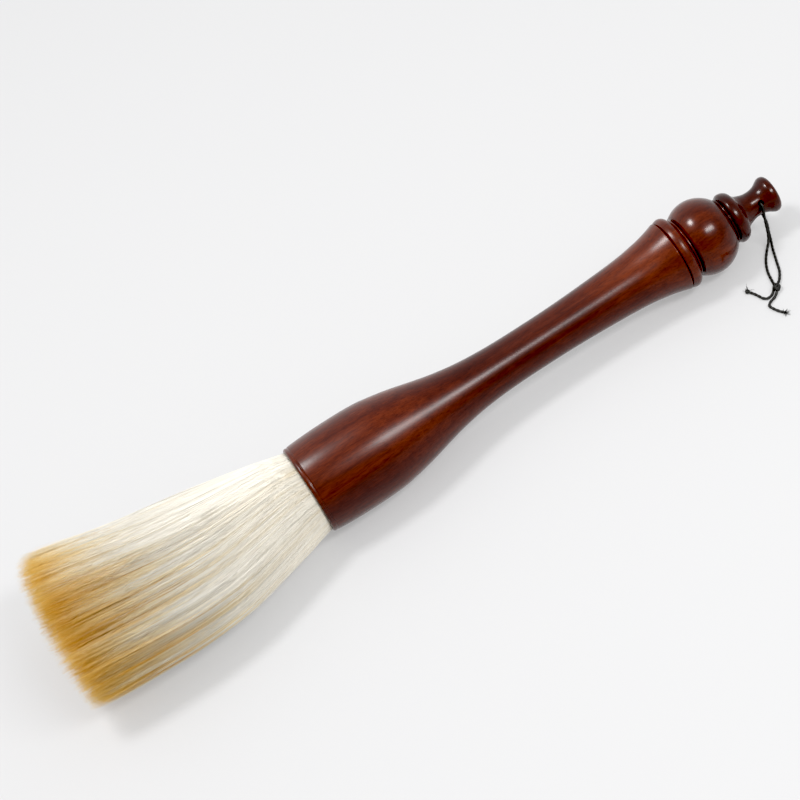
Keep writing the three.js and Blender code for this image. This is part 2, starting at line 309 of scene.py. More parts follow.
def make_fibres(name, place, direction, count, length, spread, seed):
    """Loose fibres that fan out of a cord's cut end."""
    rng = np.random.default_rng(seed)
    start = from_hole(place)
    direction = np.array(direction, float) / np.linalg.norm(direction)
    points, faces = [], []
    for i in range(count):
        lean = rng.normal(0, spread, 3)
        way = direction + lean
        way /= np.linalg.norm(way)
        reach = length * rng.uniform(0.6, 1.1)
        begin = start - direction * 0.5 * MM + rng.normal(0, 0.25, 3) * MM
        bow = np.cross(way, rng.normal(0, 1, 3)) * reach * 0.18
        steps = np.linspace(0, 1, 7)[:, None]
        path = begin + way * reach * steps + bow * steps ** 2
        path[:, 2] = np.maximum(path[:, 2], 0.25 * MM)
        tangents, normals, others = carried_frames(path)
        width = 0.16 * MM * (1 - 0.75 * steps[:, 0])
        angles = 2 * math.pi * np.arange(5) / 5
        rings = (
            path[:, None, :]
            + normals[:, None, :] * (np.cos(angles) * width[:, None])[:, :, None]
            + others[:, None, :] * (np.sin(angles) * width[:, None])[:, :, None]
        )
        faces += [tuple(k + len(points) for k in face) for face in ring_faces(7, 5)]
        points += rings.reshape(-1, 3).tolist()
    return make_object(name, points, faces)


def make_lump(name, place, radii):
    """A small uneven lump, such as a cord end sealed with a flame; radii in mm."""
    middle = from_hole(place)
    rings, sides = 14, 20
    points = [middle + np.array([0, 0, radii[2]]) * MM]
    faces = []
    for i in range(1, rings):
        tilt = math.pi * i / rings
        for j in range(sides):
            turn = 2 * math.pi * j / sides
            level = math.sin(tilt)
            way = np.array([level * math.cos(turn), level * math.sin(turn), math.cos(tilt)])
            bumps = 0.1 * math.sin(3 * turn + 2 * tilt) + 0.08 * math.cos(5 * tilt - turn)
            uneven = 1 + bumps * level
            points.append(middle + way * uneven * np.array(radii) * MM)
    points.append(middle - np.array([0, 0, radii[2]]) * MM)
    for j in range(sides):
        k = (j + 1) % sides
        faces.append((0, 1 + j, 1 + k))
        for i in range(rings - 2):
            first = 1 + i * sides
            faces.append((first + j, first + sides + j, first + sides + k, first + k))
        last = 1 + (rings - 2) * sides
        faces.append((last + j, len(points) - 1, last + k))
    return make_object(name, points, faces)


def weld(obj, distance=1e-7):
    """Merges points that lie together, such as those at a pole."""
    mesh = bmesh.new()
    mesh.from_mesh(obj.data)
    bmesh.ops.remove_doubles(mesh, verts=mesh.verts, dist=distance)
    bmesh.ops.recalc_face_normals(mesh, faces=mesh.faces)
    mesh.to_mesh(obj.data)
    mesh.free()


knot = make_knot()
melted_end = make_lump("cord_melted_end", (-30.9, -30.6, -18.2), (1.15, 1.35, 0.95))
wisp = make_fibres("cord_melted_wisp", (-30.4, -30, -18.2), (0.35, 1, 0.12), 12, 3.4 * MM, 0.3, 3)
frayed_end = make_fibres("cord_frayed_end", (-24.6, -56, -18.5), (0.5, -1, 0), 22, 2.9 * MM, 0.75, 5)
for piece in (knot, melted_end, wisp, frayed_end):
    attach(piece, "handle")
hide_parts("cord_knot")
front_cord = make_cord(
    "cord_front", FRONT_ROUTE + FRONT_IN_KNOT + LEFT_TAIL_ROUTE, ["cord_front_strand", "cord_left_tail"],
)
back_cord = make_cord(
    "cord_back", BACK_ROUTE + BACK_IN_KNOT + RIGHT_TAIL_ROUTE, ["cord_back_strand", "cord_right_tail"],
)


# ---- Turned wood ----
TURNED_SIDES = 160
OUTLINE_STEP = 0.12 * MM
EDGE_ROUNDING = 0.16 * MM
OUTLINE_TOLERANCE = 0.003 * MM
LONGEST_STEP = 2.5 * MM
CORNER_ANGLE = math.radians(28)
RING_SPACING = 0.02 * MM  # vertices this close along the axis belong to one ring
CORD_HOLE_RADIUS = 1.25 * MM
RING_POINTS = 20  # fewer vertices than this are no ring


def cad_outline(node):
    """A turned CAD node's rings as (along, radius) rows: its outer outline, and those well inside it."""
    along, radius = along_and_radius(node_points(node), MOUTH)
    spots = along / RING_SPACING
    rows = []
    for place in np.unique(np.round(spots).astype(int)):
        here = np.abs(spots - place) < 0.6
        if here.sum() >= RING_POINTS:
            rows.append((along[here].mean(), radius[here].max()))
    rows = np.array(rows)
    inner = np.zeros(len(rows), bool)
    for i in range(1, len(rows) - 1):
        level = np.interp(rows[i, 0], rows[[i - 1, i + 1], 0], rows[[i - 1, i + 1], 1])
        inner[i] = rows[i, 1] < 0.9 * level
    return rows[~inner], rows[inner]


def rounded_outline(rows):
    """The outline resampled finely, smooth where it is smooth, with its corners a little rounded."""
    steps = np.diff(rows, axis=0)
    heading = np.arctan2(steps[:, 1], steps[:, 0])
    bend = np.abs(np.diff(heading))
    corners = [0] + [i + 1 for i, angle in enumerate(bend) if angle > CORNER_ANGLE] + [len(rows) - 1]
    fine = []
    for first, last in zip(corners[:-1], corners[1:]):
        fine.append(smooth_curve(rows[first:last + 1], OUTLINE_STEP)[:-1])
    fine = np.vstack(fine + [rows[-1:]])
    reach = int(3 * EDGE_ROUNDING / OUTLINE_STEP)
    weights = np.exp(-0.5 * (np.arange(-reach, reach + 1) * OUTLINE_STEP / EDGE_ROUNDING) ** 2)
    weights /= weights.sum()
    padded = np.vstack([np.repeat(fine[:1], reach, 0), fine, np.repeat(fine[-1:], reach, 0)])
    soft = np.stack([np.convolve(padded[:, k], weights, "valid") for k in (0, 1)], 1)
    soft[0], soft[-1] = fine[0], fine[-1]
    return simplified(soft, OUTLINE_TOLERANCE)


def simplified(line, tolerance):
    """Few points that stay within tolerance of a line, and no further apart than the longest step."""
    keep = np.zeros(len(line), bool)
    keep[[0, -1]] = True
    spans = [(0, len(line) - 1)]
    while spans:
        a, b = spans.pop()
        if b <= a + 1:
            continue
        chord = line[b] - line[a]
        size = np.linalg.norm(chord)
        between = line[a + 1:b] - line[a]
        away = np.abs(between[:, 0] * chord[1] - between[:, 1] * chord[0]) / max(size, 1e-9)
        far = int(away.argmax())
        if away[far] > tolerance or size > LONGEST_STEP:
            middle = a + 1 + far if away[far] > tolerance else (a + b) // 2
            keep[middle] = True
            spans += [(a, middle), (middle, b)]
    return line[keep]


def turned(name, outline, closed_ring):
    """An outline of (along, radius) rows turned about the handle's axis; closed, or ended on the axis."""
    sides = TURNED_SIDES
    turns = 2 * math.pi * np.arange(sides) / sides
    around = np.cos(turns)[:, None] * SIDE + np.sin(turns)[:, None] * TOP
    points = MOUTH + outline[:, None, :1] * AXIS + outline[:, None, 1:] * around
    points[..., 2] = np.maximum(points[..., 2], 0)
    travelled = np.concatenate([[0], np.cumsum(np.linalg.norm(np.diff(outline, axis=0), axis=1))])
    if closed_ring:
        travelled = np.append(travelled, travelled[-1] + np.linalg.norm(outline[0] - outline[-1]))
    share = travelled / travelled[-1]
    count = len(outline)
    quads, uvs = [], []
    for i in range(count if closed_ring else count - 1):
        n = (i + 1) % count
        for j in range(sides):
            k = (j + 1) % sides
            quads.append((i * sides + j, n * sides + j, n * sides + k, i * sides + k))
            left, right = j / sides, (j + 1) / sides
            uvs += [(left, share[i]), (left, share[i + 1]), (right, share[i + 1]), (right, share[i])]
    obj = make_object(name, points.reshape(-1, 3), quads, uvs)
    weld(obj)
    return obj


def ring_outline(node):
    """A ring-shaped piece: outer outline, then back along its bore."""
    outer = cad_outline(node)[0]
    bore = along_and_radius(node_points(node), MOUTH)[1].min()
    face_in = (outer[0, 1] - bore) * 0.5
    outer = rounded_outline(outer)
    return np.vstack([
        [(outer[0, 0], bore)], [(outer[0, 0], bore + face_in)], outer,
        [(outer[-1, 0], bore + face_in)], [(outer[-1, 0], bore)],
    ])


def shank_outline():
    """The shank: socket floor and wall, lip, body, end face and the dowel's blind bore."""
    outer, inner = cad_outline("handle_shank")
    socket_floor, socket_radius = inner[0]
    bore_floor, bore = inner[-1]
    lip_top = outer[0]
    lip_half = lip_top[1] - socket_radius
    lip = []
    for angle in np.linspace(-math.pi / 2, 0, 9)[:-1]:
        lip.append((lip_half * (1 - math.cos(angle)), lip_top[1] + lip_half * math.sin(angle)))
    return np.vstack([
        [(socket_floor, 0.0)], [(socket_floor, socket_radius * 0.5)], [(socket_floor, socket_radius)],
        [(socket_floor * 0.5, socket_radius)], lip, rounded_outline(outer),
        [(outer[-1, 0], bore)], [(bore_floor, bore)], [(bore_floor, 0.0)],
    ])


def spool_outline():
    """The spool: blind bore for the dowel, bead, neck and trumpet end."""
    outer, inner = cad_outline("finial_spool")
    bore_floor, bore = inner[-1]
    tail = outer[-1].copy()
    outer = rounded_outline(outer)
    return np.vstack([
        [(bore_floor, 0.0)], [(bore_floor, bore)], [(outer[0, 0], bore)], outer,
        [(tail[0], tail[1] * 0.5)], [(tail[0], 0.0)],
    ])


def drill(obj, radius):
    """Cuts the cross hole for the cord, with its edge eased, through the spool's neck."""
    way = from_hole(FRONT_ROUTE[1]) - HOLE
    way /= np.linalg.norm(way)
    places = [-14, -6.6, -6.2, 6.2, 6.6, 14]  # mm along the hole, from its middle
    widths = [1.5, 1.12, 1, 1, 1.12, 1.5]
    path = np.array([HOLE + way * MM * place for place in places])
    tangents, normals, others = carried_frames(path)
    sides = 32
    angles = 2 * math.pi * np.arange(sides) / sides
    rings = (
        path[:, None, :]
        + normals[:, None, :] * (np.outer(widths, np.cos(angles)) * radius)[:, :, None]
        + others[:, None, :] * (np.outer(widths, np.sin(angles)) * radius)[:, :, None]
    )
    cutter = make_object("drill", rings.reshape(-1, 3), ring_faces(len(path), sides))
    cut = obj.modifiers.new("hole", "BOOLEAN")
    cut.operation = "DIFFERENCE"
    cut.solver = "EXACT"
    cut.object = cutter
    evaluated = obj.evaluated_get(bpy.context.evaluated_depsgraph_get())
    mesh = bpy.data.meshes.new_from_object(evaluated)
    obj.modifiers.clear()
    obj.data = mesh
    bpy.data.objects.remove(cutter)


wooden = {
    "handle_shank": turned("shank", shank_outline(), False),
    "flare_collar": turned("collar", ring_outline("flare_collar"), True),
    "spacer_disc": turned("disc", ring_outline("spacer_disc"), True),
    "finial_ball": turned("ball", ring_outline("finial_ball"), True),
    "finial_spool": turned("spool", spool_outline(), False),
}
drill(wooden["finial_spool"], CORD_HOLE_RADIUS)
for node, piece in wooden.items():
    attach(piece, "handle")
    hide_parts(node)


# ---- Tuft ----
TUFT_LENGTH = MOUTH[0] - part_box("hair_mantle")[0].x
ROOT_RADIUS = along_and_radius(node_points("hair_root_bundle"), MOUTH)[1].max()
FLAT_BELOW = 2.25  # the underside is squarer than an ellipse, where the hair lies on the surface
FLAT_FROM = 80 * MM  # the underside is fully squared this far past the mouth
UPPER_CORNER = 0.9  # the angle, from +Y towards the top, at which the end falls back most
CAD_ROWS = (40, 133)  # mm past the mouth between which the CAD mantle's rings are used
# The tuft leaves the cup: mm past the mouth, and what is added to the root's radius across and up.
NEAR_MOUTH = [
    (-8, -0.15, -0.15), (-1, -0.1, -0.1), (0.6, 0.3, 0.3), (3, 1.6, 1.6), (9.5, 3.9, 3.5),
    (19, 7.4, 4.4), (29, 10.8, 4.9),
]


def tuft_stations():
    """Cross-sections of the tuft: distance, half width, half height and the middle's Y and Z."""
    rows = []
    for place, width, height in NEAR_MOUTH:
        middle_z = MOUTH[2] - AXIS[2] * place * MM
        rows.append((place * MM, ROOT_RADIUS + width * MM, ROOT_RADIUS + height * MM, MOUTH[1], middle_z))
    points = node_points("hair_mantle")
    distance = MOUTH[0] - points[:, 0]
    for place in np.unique(np.round(distance / MM, 1)):
        if CAD_ROWS[0] <= place <= CAD_ROWS[1]:
            ring = points[np.abs(distance / MM - place) < 0.06]
            half = (ring.max(0) - ring.min(0)) / 2
            middle = (ring.max(0) + ring.min(0)) / 2
            rows.append((place * MM, half[1], half[2], middle[1], middle[2]))
    last, before = np.array(rows[-1]), np.array(rows[-2])
    rows.append(last + (last - before) * (TUFT_LENGTH - last[0]) / (last[0] - before[0]))
    return np.array(rows)


STATIONS = tuft_stations()
COLOUR_ROWS = 64  # strands of one row share one colour
STRANDS_PER_PIECE = 2400
SHORT_STRANDS_PER_PIECE = 5000
WISPS_IN_LOCK = 7
LOWEST_HAIR = 0.05 * MM  # above the surface
LOWEST_UNDERCOAT = 0.3 * MM
HAIR_START = 6 * MM  # the layers' strands start this far inside the mouth
INNER_START = 4 * MM  # so far inside start the undercoat and the single hairs


def eased(t):
    """Rises smoothly from 0 to 1."""
    t = np.clip(t, 0, 1)
    return t * t * (3 - 2 * t)


def smooth_lookup(x, xs, ys):
    """Smooth interpolation through stations, with no overshoot of note."""
    slopes = np.gradient(ys, xs)
    i = np.clip(np.searchsorted(xs, x) - 1, 0, len(xs) - 2)
    step = xs[i + 1] - xs[i]
    t = np.clip((x - xs[i]) / step, 0, 1)
    return (
        ys[i] * (1 + 2 * t) * (1 - t) ** 2 + ys[i + 1] * t ** 2 * (3 - 2 * t)
        + slopes[i] * step * t * (1 - t) ** 2 - slopes[i + 1] * step * t ** 2 * (1 - t)
    )


def tuft_place(distance, share, angle):
    """A point at a distance from the mouth, a share of the way out from the middle, at an angle."""
    half_width, half_height, centre_y, centre_z = (
        smooth_lookup(distance, STATIONS[:, 0], STATIONS[:, k]) for k in (1, 2, 3, 4)
    )
    across, up = np.cos(angle), np.sin(angle)
    flatness = (FLAT_BELOW - 2) * eased(distance / FLAT_FROM)
    power = np.where(up < 0, 2 / (2 + flatness), 1.0)
    y = centre_y + half_width * share * np.sign(across) * np.abs(across) ** power
    z = centre_z + half_height * share * np.sign(up) * np.abs(up) ** power
    return np.stack([MOUTH[0] - distance, y, z], -1)


def end_shape(share, angle):
    """How far the end falls back at its rim and its upper corner, as a share of the tuft's length."""
    upper = np.clip(np.cos(angle - UPPER_CORNER), 0, 1)
    return 0.012 * share ** 4 + 0.07 * upper ** 2 * share ** 4


def strand_mesh(name, paths, widths, rows):
    """Closed three-sided strands, whose UVs give the reach along the tuft and the strand's colour row.

    paths is strands by steps by 3, widths the radii and rows one colour row for each strand, 0 to 1.
    """
    count, steps, _ = paths.shape
    tangents = np.gradient(paths, axis=1)
    tangents /= np.linalg.norm(tangents, axis=2)[:, :, None]
    outward = paths - MOUTH
    outward[:, :, 0] = 0
    outward -= tangents * (outward * tangents).sum(2)[:, :, None]
    outward /= np.linalg.norm(outward, axis=2)[:, :, None] + 1e-12
    others = np.cross(tangents, outward)
    angles = np.array([math.pi / 2, math.pi * 7 / 6, math.pi * 11 / 6])
    rings = (
        paths[:, :, None, :]
        + outward[:, :, None, :] * (np.sin(angles) * widths[:, :, None])[..., None]
        + others[:, :, None, :] * (np.cos(angles) * widths[:, :, None])[..., None]
    )
    rings[..., 2] = np.maximum(rings[..., 2], LOWEST_HAIR)
    base = (np.arange(count) * steps * 3)[:, None, None]
    ring = (np.arange(steps - 1) * 3)[None, :, None]
    side, following = np.arange(3), np.array([1, 2, 0])
    first = base + ring
    quads = np.stack([first + side, first + following, first + 3 + following, first + 3 + side], -1)
    caps = np.concatenate([
        (base[:, 0] + np.array([2, 1, 0])), (base[:, 0] + (steps - 1) * 3 + np.array([0, 1, 2])),
    ])
    reach = np.clip((MOUTH[0] - paths[:, :, 0]) / TUFT_LENGTH, 0.0, 1.0) * 0.98 + 0.01
    near, far = reach[:, :-1, None] + np.zeros(3), reach[:, 1:, None] + np.zeros(3)
    low = (np.floor(rows * COLOUR_ROWS) + 0.25) / COLOUR_ROWS
    low = low[:, None, None] + np.zeros_like(near)
    high = low + 0.5 / COLOUR_ROWS
    corners = [(near, low), (near, high), (far, high), (far, low)]
    quad_uvs = np.stack([np.stack(corner, -1) for corner in corners], 3).reshape(-1, 2)
    root = np.stack([reach[:, 0], low[:, 0, 0]], -1)
    tip = np.stack([reach[:, -1], low[:, 0, 0]], -1)
    cap_uvs = np.concatenate([np.repeat(root, 3, 0), np.repeat(tip, 3, 0)])
    uvs = np.concatenate([quad_uvs, cap_uvs])
    return make_quads(name, rings.reshape(-1, 3), quads.reshape(-1, 4), caps, uvs)


def layer_paths(rng, count, locks, depth, thickness, shorter, steps=13):
    """One layer of long strands gathered in locks: paths, radii, tones from 0 to 1 and angles."""
    lock_angle = 2 * math.pi * (np.arange(locks) + rng.uniform(0, 0.8, locks)) / locks
    lock_drift = rng.normal(0, 0.05, locks)
    lock_lift = rng.normal(0, 0.0065, locks)
    lock_end = 1 - rng.uniform(0, 1, locks) ** 1.6 * shorter
    lock_tone = rng.uniform(0, 1, locks)
    lock = rng.integers(0, locks, count)
    width = 2 * math.pi / locks
    angle = lock_angle[lock] + rng.normal(0, 0.75, count) * width
    inward = depth + rng.uniform(0, thickness, count)
    share = 1 - inward
    gather = rng.uniform(0.0, 0.4, count)[:, None]
    reach = lock_end[lock] * rng.normal(1, 0.025, count) - np.abs(rng.normal(0, 0.035, count))
    reach = np.minimum(reach, 1.015) - end_shape(share, angle)
    s = np.linspace(0, 1, steps)[None, :]
    distance = -HAIR_START + (reach * TUFT_LENGTH + HAIR_START)[:, None] * s
    along = np.clip(distance / TUFT_LENGTH, 0, 1)
    pull = eased(along * 1.1 - 0.1) * gather
    tip_angle = lock_angle[lock][:, None]
    angles = angle[:, None] + (tip_angle - angle[:, None]) * pull * 0.8
    own_drift = rng.normal(0, 0.028, (count, 1))
    angles = angles + lock_drift[lock][:, None] * along ** 1.4 + own_drift * along ** 1.5
    packed = 0.4 + 0.6 * eased(along * 1.8)
    shares = 1 - inward[:, None] * packed + lock_lift[lock][:, None] * eased(along * 1.6)
    shares = shares + rng.normal(0, 0.008, (count, 1)) * along + 0.004 * np.sin(
        along * rng.uniform(4, 9, (count, 1)) + rng.uniform(0, 6.3, (count, 1))
    )
    shares = np.minimum(shares, 1.025)
    paths = tuft_place(distance, shares, angles)
    radius = rng.uniform(0.08, 0.125, (count, 1)) * MM
    thin = np.clip((1 - s) / 0.45, 0, 1) ** 0.8
    widths = radius * (0.6 + 0.4 * eased(along * 4)) * (0.08 + 0.92 * thin)
    wisps = rng.normal(0, 0.13, locks * WISPS_IN_LOCK)
    wisp = (angle / (2 * math.pi) % 1 * len(wisps)).astype(int) % len(wisps)
    tone = lock_tone[lock] + wisps[wisp]
    return paths, widths, np.clip(tone, 0, 1), angle


def tip_paths(rng, count, clumps, steps=7):
    """Short strands that fill the blunt end, gathered in small points; also tones, angles and shares."""
    centre_share = np.sqrt(rng.uniform(0, 0.93, clumps))
    centre_angle = rng.uniform(0, 2 * math.pi, clumps)
    centre = np.stack([centre_share * np.cos(centre_angle), centre_share * np.sin(centre_angle)], 1)
    clump_end = rng.normal(0, 0.018, clumps)
    share = np.sqrt(rng.uniform(0, 0.92, count))
    angle = rng.uniform(0, 2 * math.pi, count)
    start = np.stack([share * np.cos(angle), share * np.sin(angle)], 1)
    nearest = ((start[:, None, :] - centre[None]) ** 2).sum(2).argmin(1)
    s = np.linspace(0, 1, steps)[None, :]
    pull = (eased(s) * rng.uniform(0.15, 0.6, (count, 1)))[..., None]
    plane = start[:, None, :] + (centre[nearest] - start)[:, None, :] * pull
    plane = plane + rng.normal(0, 0.012, (count, 1, 2)) * s[..., None] ** 2
    shares, angles = np.linalg.norm(plane, axis=2), np.arctan2(plane[..., 1], plane[..., 0])
    reach = 1 - end_shape(share, angle) + clump_end[nearest] - np.abs(rng.normal(0, 0.045, count))
    reach = np.minimum(reach, 1.0)
    begin = rng.uniform(0.6, 0.68, count)
    distance = TUFT_LENGTH * (begin[:, None] + (reach - begin)[:, None] * s)
    paths = tuft_place(distance, shares, angles)
    widths = rng.uniform(0.11, 0.17, (count, 1)) * MM * (0.06 + 0.94 * np.clip((1 - s) / 0.75, 0, 1))
    tone = rng.uniform(0, 1, clumps)[nearest] * 0.6 + rng.uniform(0, 0.4, count)
    return paths, widths, tone, angle, share


def place_in_pieces(name, paths, widths, rows, per_piece):
    """Strand pieces with a limited number of strands each."""
    made = []
    for i, start in enumerate(range(0, len(paths), per_piece)):
        part = slice(start, start + per_piece)
        made.append(strand_mesh(f"{name}_{i + 1}", paths[part], widths[part], rows[part]))
    return made


def undercoat():
    """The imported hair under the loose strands, as one closed body."""
    rings, sides = 60, 200
    s = np.linspace(0, 1, rings)
    distance = -INNER_START + (0.79 * TUFT_LENGTH + INNER_START) * s
    closing = np.sqrt(np.clip(1 - (np.clip(s - 0.9, 0, 1) / 0.1) ** 2, 0.0004, 1))  # rounds the end
    angles = 2 * math.pi * np.arange(sides) / sides
    grooves = 0.012 * np.sin(angles * 37) + 0.008 * np.sin(angles * 83 + 1)
    shares = (0.93 - 0.1 * eased(s * 1.5)[:, None] + grooves) * closing[:, None]
    points = tuft_place(distance[:, None] + np.zeros(sides), shares, angles + np.zeros((rings, 1)))
    points[..., 2] = np.maximum(points[..., 2], LOWEST_UNDERCOAT)
    return make_object("tuft_undercoat", points.reshape(-1, 3), ring_faces(rings, sides))


def flyaways(rng, count, lift, drift, steps=14):
    """Single hairs over the outer layer, with radii and colour rows.

    lift is how far they may stand off, as a share of the tuft's half width, and drift how far they may
    cross the others, as an angle.
    """
    angle = rng.uniform(-0.5, 3.6, count)
    s = np.linspace(0, 1, steps)[None, :]
    reach = rng.uniform(0.55, 1.0, count) - end_shape(1.0, angle)
    distance = -INNER_START + (reach * TUFT_LENGTH + INNER_START)[:, None] * s
    along = np.clip(distance / TUFT_LENGTH, 0, 1)
    shares = 0.98 + rng.uniform(0.01, lift, (count, 1)) * along ** 2
    angles = angle[:, None] + rng.normal(0, drift, (count, 1)) * along ** 1.5
    paths = tuft_place(distance, shares, angles)
    widths = 0.055 * MM * np.ones((count, 1)) * (0.3 + 0.7 * (1 - s))
    return paths, widths, rng.uniform(0.0, 0.35, count)


GOLDEN_SIDE = 2.7  # the side of the tuft, as an angle, where the hair turns golden soonest
# The middles of the darker amber patches at the end, amber hair partly darkened as painted shade between the
# locks, from -1 to 1 across and up, and how far they spread.
AMBER_SHADE_PATCHES = np.array([
    (-0.85, 0.25), (-0.72, 0.7), (-0.3, 0.92), (0.25, 0.75), (0.6, 0.35), (-0.1, 0.3), (0.3, -0.4),
])
PATCH_SPREAD = 0.035
LAST_ROW = 0.999
# Name, strands, locks, depth, thickness, how much shorter locks may be, and colour rows from and to.
LAYERS = [
    ("hair_outer", 5200, 190, 0.0, 0.03, 0.3, 0.0, 0.8),
    ("hair_second", 5200, 190, 0.03, 0.035, 0.22, 0.0, 0.9),
    ("hair_third", 4800, 170, 0.065, 0.045, 0.1, 0.25, 0.95),
    ("hair_fourth", 3600, 150, 0.11, 0.05, 0.05, 0.45, 1.0),
]


def golden_side(angle):
    """How much later or sooner the hair turns golden on this side, in colour rows."""
    return 0.1 * np.clip(np.cos(angle - GOLDEN_SIDE), -1, 0.9)


def amber_and_painted_shade(share, angle):
    """Near 1 where the hair ends in a darker amber patch, 0 elsewhere: amber hair whose darkness is partly painted
    shade between the locks.
    """
    place = np.stack([share * np.cos(angle), share * np.sin(angle)], -1)
    apart = ((place[:, None, :] - AMBER_SHADE_PATCHES[None]) ** 2).sum(2).min(1)
    return np.exp(-apart / PATCH_SPREAD)


def make_layers(rng):
    made = []
    for name, count, locks, depth, thickness, shorter, row_from, row_to in LAYERS:
        paths, widths, tone, angle = layer_paths(rng, count, locks, depth, thickness, shorter)
        # Deeper layers take later rows, darker tan at the root and golden sooner: partly hair colour, partly
        # painted shade of hair lying deep.
        rows = row_from + (row_to - row_from) * tone ** 1.8 + golden_side(angle)
        # The amber patches push rows towards amber: partly hair colour, partly painted shade between the locks.
        rows = rows + rng.normal(0, 0.08, count) + 0.3 * amber_and_painted_shade(1 - depth, angle)
        made += place_in_pieces(name, paths, widths, np.clip(rows, 0, LAST_ROW), STRANDS_PER_PIECE)
    return made


def make_tips(rng):
    paths, widths, tone, angle, share = tip_paths(rng, 14000, 1400)
    # The amber patches push the tips' rows towards amber: partly hair colour, partly painted shade between the
    # locks.
    rows = 0.2 + 0.7 * tone + golden_side(angle) * 1.6 * share + 0.45 * amber_and_painted_shade(share, angle)
    rows = np.clip(rows, 0, LAST_ROW)
    return place_in_pieces("hair_tips", paths, widths, rows, SHORT_STRANDS_PER_PIECE)


def make_single_hairs(rng):
    paths, widths, rows = flyaways(rng, 240, 0.08, 0.09)
    made = place_in_pieces("hair_flyaway", paths, widths, rows, SHORT_STRANDS_PER_PIECE)
    paths, widths, rows = flyaways(rng, 1800, 0.03, 0.06)
    return made + place_in_pieces(
        "hair_crossing", paths, widths * 1.2, rows * 2.4, SHORT_STRANDS_PER_PIECE,
    )


hair_draws = np.random.default_rng(11)
hair_pieces = make_layers(hair_draws) + make_tips(hair_draws) + make_single_hairs(hair_draws)
undercoat_piece = undercoat()


# ---- Materials ----
def material(name):
    made = bpy.data.materials.new(name)
    made.use_nodes = True
    nodes = made.node_tree.nodes
    nodes.clear()
    output = nodes.new("ShaderNodeOutputMaterial")
    shader = nodes.new("ShaderNodeBsdfPrincipled")
    made.node_tree.links.new(shader.outputs[0], output.inputs[0])
    return made, shader


def add(made, kind, inputs=None, **settings):
    """A node with its settings; inputs maps a socket's name or number to a value or to another socket."""
    node = made.node_tree.nodes.new("ShaderNode" + kind)
    for key, value in settings.items():
        setattr(node, key, value)
    for key, value in (inputs or {}).items():
        connect(made, value, node.inputs[key])
    return node


def connect(made, value, socket):
    if isinstance(value, bpy.types.NodeSocket):
        made.node_tree.links.new(value, socket)
    else:
        socket.default_value = value


def ramp(made, factor, stops, smooth=False):
    node = add(made, "ValToRGB", {0: factor})
    if smooth:
        node.color_ramp.interpolation = "EASE"
    elements = node.color_ramp.elements
    while len(elements) < len(stops):
        elements.new(0.5)
    for element, (place, colour) in zip(elements, stops):
        element.position = place
        element.color = (*colour, 1) if len(colour) == 3 else colour
    return node.outputs[0]


def math_node(made, operation, a, b=0.0, clamp=False):
    return add(made, "Math", {0: a, 1: b}, operation=operation, use_clamp=clamp).outputs[0]


def weighed_sum(made, parts):
    """The sum of (value, weight) pairs."""
    total = 0.0
    for value, weight in parts:
        total = math_node(made, "ADD", math_node(made, "MULTIPLY", value, weight), total)
    return total


def stretched_noise(made, scale, detail=4.0, roughness=0.55, offset=0.0):
    """Noise stretched along the handle, by a scale along X, Y and Z per metre."""
    place = add(made, "TexCoord").outputs["Object"]
    moved = add(made, "Mapping", {0: place, "Location": (offset, offset, offset), "Scale": scale})
    noise = add(made, "TexNoise", {
        "Vector": moved.outputs[0], "Scale": 1.0, "Detail": detail, "Roughness": roughness,
    })
    return noise.outputs[0]


def lacquered_wood(name, coat_roughness):
    made, shader = material(name)
    figure = stretched_noise(made, (9, 60, 60), 4, 0.55, 3.1)
    streaks = stretched_noise(made, (28, 520, 520), 4, 0.6, 7.7)
    mottle = stretched_noise(made, (160, 420, 420), 3, 0.55, 5.2)
    fibre = stretched_noise(made, (260, 3200, 3200), 3, 0.6, 1.3)
    tone = weighed_sum(made, [(figure, 0.5), (streaks, 0.3), (mottle, 0.2)])
    colour = ramp(made, tone, [
        (0.36, (0.044, 0.0050, 0.0016)), (0.46, (0.066, 0.0084, 0.0023)),
        (0.54, (0.094, 0.0136, 0.0031)), (0.66, (0.136, 0.0225, 0.0045)),
    ])
    flecks = stretched_noise(made, (210, 1450, 1450), 3, 0.6, 9.1)
    pores = ramp(made, fibre, [(0.34, (0.6, 0.55, 0.55)), (0.46, (1, 1, 1))])
    dark_flecks = ramp(made, flecks, [(0.36, (0.74, 0.68, 0.66)), (0.52, (1, 1, 1))])
    for layer in (mix(made, 1.0, pores, dark_flecks, "MULTIPLY"), handle_tones(made)):
        colour = mix(made, 1.0, colour, layer, "MULTIPLY")
    connect(made, colour, shader.inputs["Base Color"])
    rough = add(made, "MapRange", {0: streaks, 3: 0.4, 4: 0.55}).outputs[0]
    connect(made, rough, shader.inputs["Roughness"])
    bump = add(made, "Bump", {"Strength": 0.1, "Distance": 0.00005, "Height": fibre}).outputs[0]
    connect(made, bump, shader.inputs["Normal"])
    shader.inputs["Specular IOR Level"].default_value = 0.1
    shader.inputs["Coat Weight"].default_value = 1.0
    shader.inputs["Coat Roughness"].default_value = coat_roughness
    shader.inputs["Coat IOR"].default_value = 1.43
    return made


def handle_tones(made):
    """Paler and darker stretches along the handle: a darker waist, a paler flare and a dark end."""
    place = add(made, "TexCoord").outputs["Object"]
    x = add(made, "SeparateXYZ", {0: place}).outputs[0]
    share = add(made, "MapRange", {0: x, 1: float(MOUTH[0]), 2: float(END[0])}).outputs[0]
    return ramp(made, share, [
        (0.0, (1.0, 1.0, 1.0)), (0.2, (1.0, 0.95, 0.9)),
        (0.38, (0.72, 0.62, 0.6)), (0.58, (0.78, 0.7, 0.65)),
        (0.72, (1.2, 1.25, 1.2)), (0.86, (1.0, 1.0, 1.0)),
        (0.9, (0.5, 0.4, 0.4)), (1.0, (0.5, 0.4, 0.4)),
    ])


